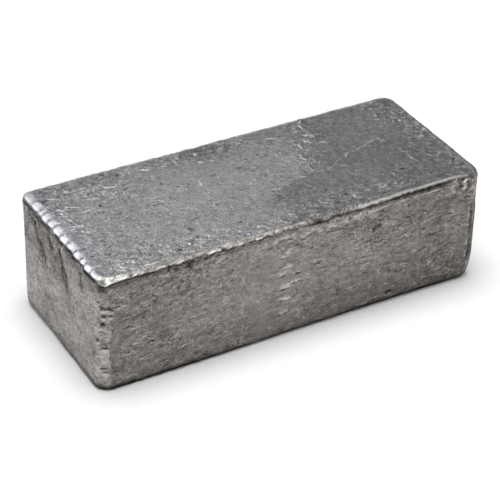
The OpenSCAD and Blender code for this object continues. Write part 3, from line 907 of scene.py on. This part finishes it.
def leadMaterial():
    mat = bpy.data.materials.new("lead_castDulled")
    mat.use_nodes = True
    tree = mat.node_tree
    tree.nodes.clear()
    c = castLead
    layer = {}
    for name in ("creviceShadow", "paintedShade", "cold", "lightened", "tone", "fine", "rough", "poured",
                 "crackAt", "crackShown", "creaseAt", "creaseShown"):
        layer[name] = addNode(tree, "Attribute", {}, attribute_name=name).outputs["Fac"]
    place = addNode(tree, "TexCoord", {}).outputs["Object"]
    grain = {}
    for i, (name, (sizes, detail, turn)) in enumerate(c["grains"].items()):
        turned = addNode(tree, "Mapping", {
            "Vector": place, "Location": [i * step for step in c["grainStep"]],
            "Rotation": (0, 0, math.radians(turn))})
        drawn = addNode(tree, "VectorMath", {0: turned, 1: [s * mm for s in sizes]}, operation="DIVIDE")
        grain[name] = addNode(tree, "TexNoise", {
            "Vector": drawn, "Scale": 1.0, "Detail": detail, "Roughness": c["grainRoughness"]})

    # flecks and nicks stand in clumps, scratches are on the poured top only
    sparse = {}
    middle = addNode(tree, "Math", {0: grain["wrinkle"], 1: c["noiseMiddle"]}, operation="SUBTRACT")
    grain["wrinkle"] = addNode(tree, "Math", {0: middle}, operation="ABSOLUTE")     # thin folds
    for name in ("clump", "gate", "wrinkle", "fleck", "nick", "scratch"):
        low, high = c[name + "From"]
        sparse[name] = addNode(tree, "MapRange", {
            "Value": grain[name], "From Min": low, "From Max": high}, interpolation_type="SMOOTHSTEP")
    fleck, nick, wrinkle, scratch = [
        addNode(tree, "Math", {0: sparse[name], 1: where}, operation="MULTIPLY")
        for name, where in (("fleck", sparse["clump"]), ("nick", sparse["clump"]),
                            ("wrinkle", sparse["gate"]), ("scratch", layer["poured"]))]

    # thin flakes: the skin steps down in plates with a rubbed light crest and a dark foot of dirt and painted
    # shade
    steps = addNode(tree, "Math", {0: grain["flake"], 1: c["flakeSteps"]}, operation="MULTIPLY")
    rest = addNode(tree, "Math", {0: steps}, operation="FRACT")
    whole = addNode(tree, "Math", {0: steps}, operation="FLOOR")
    crest, foot = [
        addNode(tree, "MapRange", {
            "Value": rest, "From Min": low, "From Max": high}, interpolation_type="SMOOTHSTEP")
        for low, high in ((c["flakeEdge"], 0.0), (1 - c["flakeEdge"], 1.0))]
    plate = addNode(tree, "Math", {0: whole, 1: foot}, operation="ADD")
    crest, foot = [
        addNode(tree, "Math", {0: part, 1: sparse["gate"]}, operation="MULTIPLY") for part in (crest, foot)]

    # how light the skin is: crests over hollows
    fine = -c["noiseMiddle"] * sum(c["shares"].values())
    for name, share in c["shares"].items():
        fine = addNode(tree, "Math", {0: grain[name], 1: share, 2: fine}, operation="MULTIPLY_ADD")
    for part, share in ((fleck, c["fleckShare"]), (nick, -c["nickShare"]), (scratch, c["scratchShare"]),
                        (crest, c["crestShare"]), (foot, -c["footShare"]), (wrinkle, c["wrinkleShare"])):
        fine = addNode(tree, "Math", {0: part, 1: share, 2: fine}, operation="MULTIPLY_ADD")
    tone = addNode(tree, "Math", {0: fine, 1: layer["rough"], 2: layer["tone"]}, operation="MULTIPLY_ADD")
    tone = addNode(tree, "Math", {0: layer["fine"], 1: c["fineShare"], 2: tone}, operation="MULTIPLY_ADD")
    tone = addNode(tree, "Math", {0: grain["patch"], 1: c["patchShare"], 2: tone}, operation="MULTIPLY_ADD")
    base = c["middle"] - c["noiseMiddle"] * c["patchShare"]
    tone = addNode(tree, "Math", {0: tone, 1: base}, operation="ADD", use_clamp=True)

    skins = []
    for kind in ("side", "top"):
        hollow, raised = [hexToLinear(code) for code in c[kind]]
        skins.append(addNode(tree, "Mix", {0: tone, 6: hollow, 7: raised}, data_type="RGBA"))
    colour = addNode(tree, "Mix", {
        0: layer["poured"], 6: skins[0].outputs[2], 7: skins[1].outputs[2]}, data_type="RGBA").outputs[2]
    # cracks and creases, as thin as their own width: cracks in painted near-black shadow, creases as light
    # lines of rubbed metal and painted highlight
    marks = []
    jag = addNode(tree, "Math", {
        0: grain["speck"], 1: c["lineJag"], 2: -c["noiseMiddle"] * c["lineJag"]}, operation="MULTIPLY_ADD")
    for kind, broad in (("crack", "creviceShadow"), ("crease", "lightened")):
        away = addNode(tree, "Math", {0: layer[kind + "At"], 1: jag}, operation="ADD")
        away = addNode(tree, "Math", {0: away}, operation="ABSOLUTE")
        inside = addNode(tree, "MapRange", {
            "Value": away, "From Min": 1.0, "From Max": c["lineCore"]}, interpolation_type="SMOOTHSTEP")
        line = addNode(tree, "Math", {0: inside, 1: layer[kind + "Shown"]}, operation="MULTIPLY")
        marks.append(addNode(tree, "Math", {0: line, 1: layer[broad]}, operation="MAXIMUM"))
    crack, lightMarks = marks
    bright = hexToLinear(c["bright"])
    for share, shade in ((layer["poured"], c["brightTop"]), (layer["cold"], c["brightEnd"])):
        mix = addNode(tree, "Mix", {0: share, 6: bright, 7: hexToLinear(shade)}, data_type="RGBA")
        bright = mix.outputs[2]
    # painted shade, then rubbed metal and painted highlights, then painted shadow in cracks
    paintedShade, black = hexToLinear(c["paintedShade"]), hexToLinear(c["creviceShadow"])
    for share, shade in ((layer["paintedShade"], paintedShade), (lightMarks, bright), (crack, black)):
        colour = addNode(tree, "Mix", {0: share, 6: colour, 7: shade}, data_type="RGBA").outputs[2]
    # painted shade and cracks also darken the reflection
    shadedReflection = addNode(tree, "Math", {0: layer["paintedShade"], 1: crack}, operation="MAXIMUM")
    shadedSpecularTint = addNode(tree, "Mix", {0: shadedReflection, 6: (1, 1, 1, 1), 7: paintedShade}, data_type="RGBA").outputs[2]
    gloss = addNode(tree, "MapRange", {
        "Value": tone, "From Min": c["glossFrom"], "From Max": c["glossTo"],
        "To Min": c["roughness"], "To Max": c["crestRoughness"]})
    polish = c["rubbedRoughness"] - c["crestRoughness"]
    gloss = addNode(tree, "Math", {0: layer["lightened"], 1: polish, 2: gloss}, operation="MULTIPLY_ADD")

    relief = 0.0
    for part, rise in ((plate, c["flakeRise"]), (grain["speck"], c["speckRise"]), (fleck, c["fleckRise"]),
                       (wrinkle, c["fleckRise"]), (nick, -c["nickDepth"])):
        relief = addNode(tree, "Math", {0: part, 1: rise * mm, 2: relief}, operation="MULTIPLY_ADD")
    left = addNode(tree, "Math", {0: layer["lightened"], 1: -c["worn"], 2: 1.0}, operation="MULTIPLY_ADD")
    for share in (left, layer["rough"]):
        relief = addNode(tree, "Math", {0: relief, 1: share}, operation="MULTIPLY")
    normal = addNode(tree, "Bump", {"Height": relief, "Distance": 1.0, "Strength": 1.0})
    shader = addNode(tree, "BsdfPrincipled", {
        "Base Color": colour, "Metallic": 1.0, "Roughness": gloss, "Specular Tint": shadedSpecularTint, "Normal": normal})
    addNode(tree, "OutputMaterial", {"Surface": shader})
    return mat


# Studio: white paper floor under a softbox, with panels that only the metal mirrors

studio = dict(
    floorSide=12.0,
    floorColour="#fcfcfc",
    floorRoughness=0.9,
    floorLift=0.1,
    room="#929292",
    # name, azimuth, elevation, distance, width, height, watts, colour, lights the floor or the metal
    softboxes=[
        ("overhead", 140, 87, 1.4, 0.8, 0.8, 16.0, "#ffffff", True),
        ("ceiling", 140, 88, 1.5, 2.0, 2.0, 18.0, "#ffffff", False),
        ("backWide", 88, 34, 1.4, 1.5, 1.0, 4.5, "#ffffff", False),
        ("backLeft", 116, 34, 1.3, 0.7, 0.45, 4.0, "#e6ebff", False),
        ("frontLow", -62, 16, 1.2, 1.0, 0.45, 4.5, "#ffffff", False),
    ],
)


def makeFloor():
    half = studio["floorSide"] / 2
    mesh = bpy.data.meshes.new("paperFloor")
    corners = [(-half, -half, 0), (half, -half, 0), (half, half, 0), (-half, half, 0)]
    mesh.from_pydata(corners, [], [(0, 1, 2, 3)])
    floor = bpy.data.objects.new("paperFloor", mesh)
    bpy.context.collection.objects.link(floor)
    # coated paper, rolled matte: even white with no gloss
    mat = bpy.data.materials.new("paper_matteWhite")
    mat.use_nodes = True
    tree = mat.node_tree
    tree.nodes.clear()
    ray = addNode(tree, "LightPath", {})
    seen = ray.outputs["Is Camera Ray"]
    for kind in ("Is Glossy Ray", "Is Transmission Ray"):
        seen = addNode(tree, "Math", {0: seen, 1: ray.outputs[kind]}, operation="MAXIMUM")
    lift = addNode(tree, "Math", {0: seen, 1: studio["floorLift"]}, operation="MULTIPLY")
    shader = addNode(tree, "BsdfPrincipled", {
        "Base Color": hexToLinear(studio["floorColour"]), "Roughness": studio["floorRoughness"],
        "Specular IOR Level": 0.0, "Emission Color": (1, 1, 1, 1), "Emission Strength": lift})
    addNode(tree, "OutputMaterial", {"Surface": shader})
    mesh.materials.append(mat)


def makeLights():
    for name, azimuth, elevation, distance, wide, tall, watts, colour, onFloor in studio["softboxes"]:
        lamp = bpy.data.lights.new(name, "AREA")
        lamp.shape = "RECTANGLE"
        lamp.size, lamp.size_y = wide, tall
        lamp.energy = watts
        lamp.color = hexToLinear(colour)[:3]
        a, e = math.radians(azimuth), math.radians(elevation)
        toLamp = Vector((math.cos(a) * math.cos(e), math.sin(a) * math.cos(e), math.sin(e)))
        box = bpy.data.objects.new(name, lamp)
        box.location = toLamp * distance
        box.rotation_euler = toLamp.to_track_quat("Z", "Y").to_euler()
        box.visible_camera = False
        box.visible_diffuse, box.visible_glossy = onFloor, not onFloor
        bpy.context.collection.objects.link(box)
    world = bpy.data.worlds.new("studioRoom")
    bpy.context.scene.world = world
    world.use_nodes = True
    tree = world.node_tree
    tree.nodes.clear()
    back = addNode(tree, "Background", {"Color": hexToLinear(studio["room"]), "Strength": 1.0})
    addNode(tree, "OutputWorld", {"Surface": back})


# Camera: long lens from the front left, tipped a little as in the photo

view = dict(
    azimuth=-30.3,
    elevation=33.8,
    roll=1.63,
    distance=948.0,
    lens=141.3,
    sensor=36.0,
    aim=(4.1, 9.0, 14.7),
)


def makeCamera():
    data = bpy.data.cameras.new("photoCamera")
    data.lens = view["lens"]
    data.sensor_width = view["sensor"]
    camera = bpy.data.objects.new("photoCamera", data)
    a, e, roll = [math.radians(view[k]) for k in ("azimuth", "elevation", "roll")]
    back = Vector((math.sin(a) * math.cos(e), -math.cos(a) * math.cos(e), math.sin(e)))
    right = Vector((math.cos(a), math.sin(a), 0))
    turn = Matrix((right, back.cross(right), back)).transposed().to_4x4() @ Matrix.Rotation(roll, 4, "Z")
    place = (Vector(view["aim"]) + back * view["distance"]) * mm
    camera.matrix_world = Matrix.Translation(place) @ turn
    bpy.context.collection.objects.link(camera)
    bpy.context.scene.camera = camera


block = makeBrick()
block.data.materials.append(leadMaterial())
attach(block, "root")
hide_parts(brick["node"])
makeFloor()
makeLights()
makeCamera()
bpy.context.scene.view_settings.view_transform = "Standard"
print("studio and camera set")
